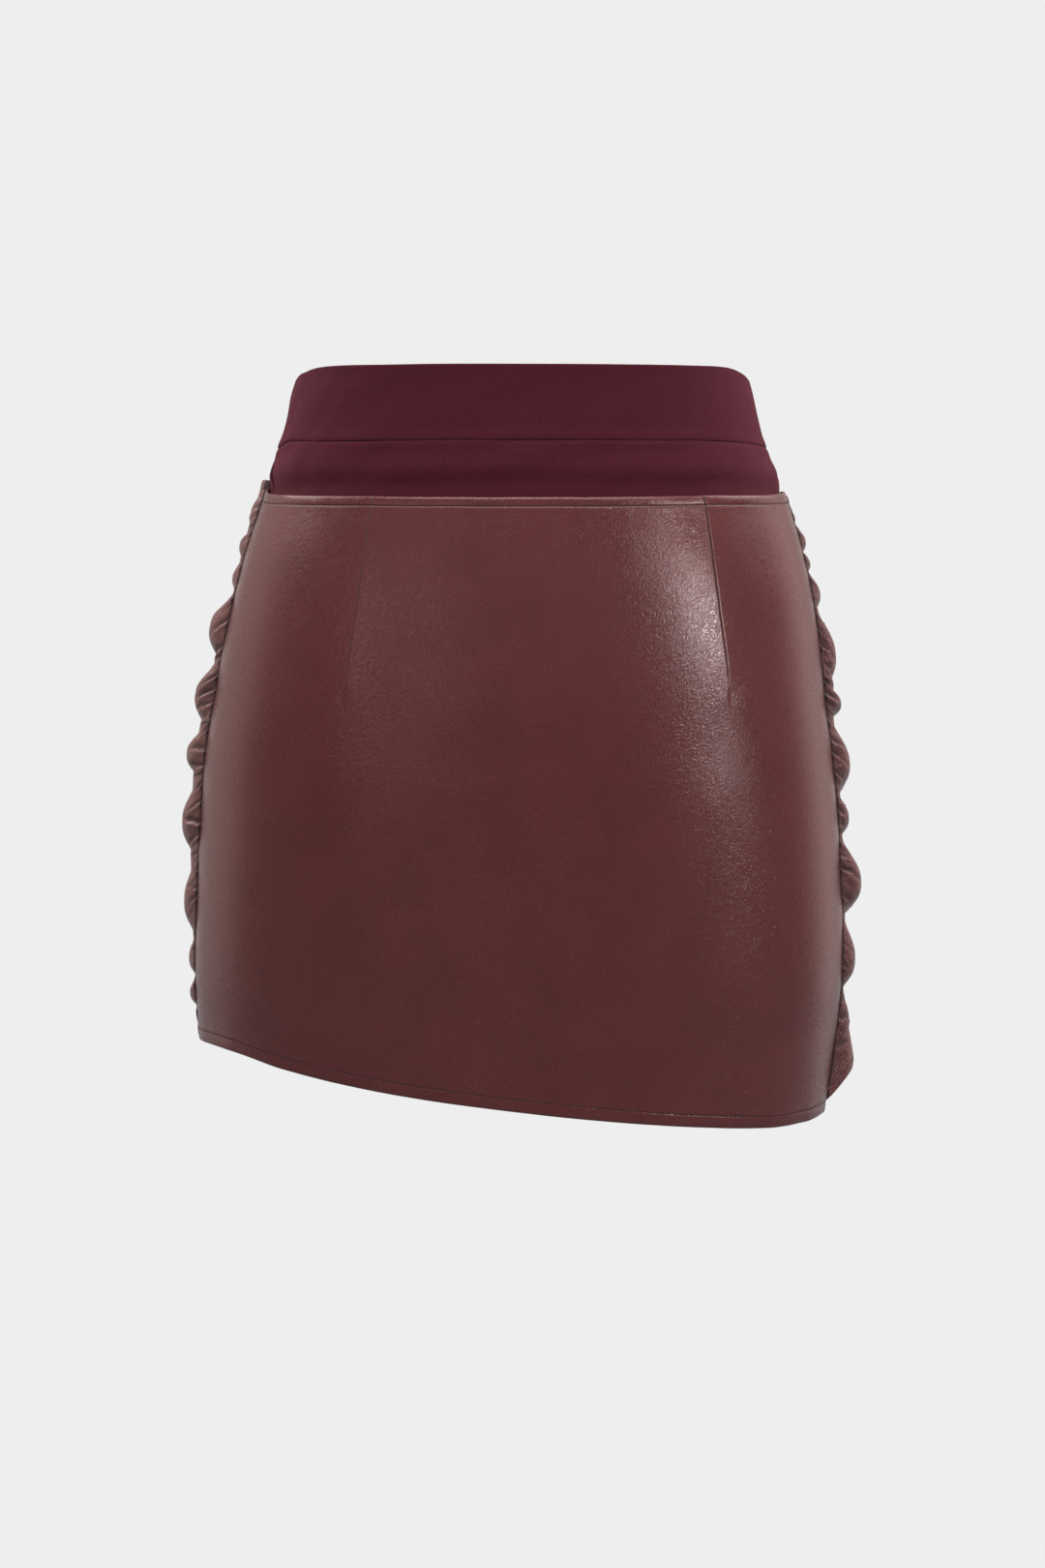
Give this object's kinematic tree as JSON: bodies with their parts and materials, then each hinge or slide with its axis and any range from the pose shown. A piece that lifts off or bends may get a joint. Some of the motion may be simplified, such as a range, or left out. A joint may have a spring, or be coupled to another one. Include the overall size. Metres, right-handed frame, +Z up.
{
  "type": "leather skirt",
  "caption": "Hollow worn mini skirt: smooth leather back with waist darts, front gathered into its side seams, slanted hem and layered knit waistband.",
  "frame": {"origin": "middle of the waist opening, level with the waistband's top edge, where the wearer's waist holds the skirt", "axes": "+Z up out of the waist, +Y towards the gathered front, -Y towards the plain back with the darts, +X towards the wearer's right"},
  "size_m": [0.3723, 0.2338, 0.4076],
  "materials": {
    "leather": "smooth semi-gloss with a fine grain, brown burgundy",
    "knit": "matt fine knit, wine red"
  },
  "bodies": {
    "root": {"back_panel": "leather", "front_panel": "leather", "waistband_back": "knit", "waistband_front": "knit", "yoke_back": "knit", "yoke_front": "knit"}
  },
  "joints": []
}
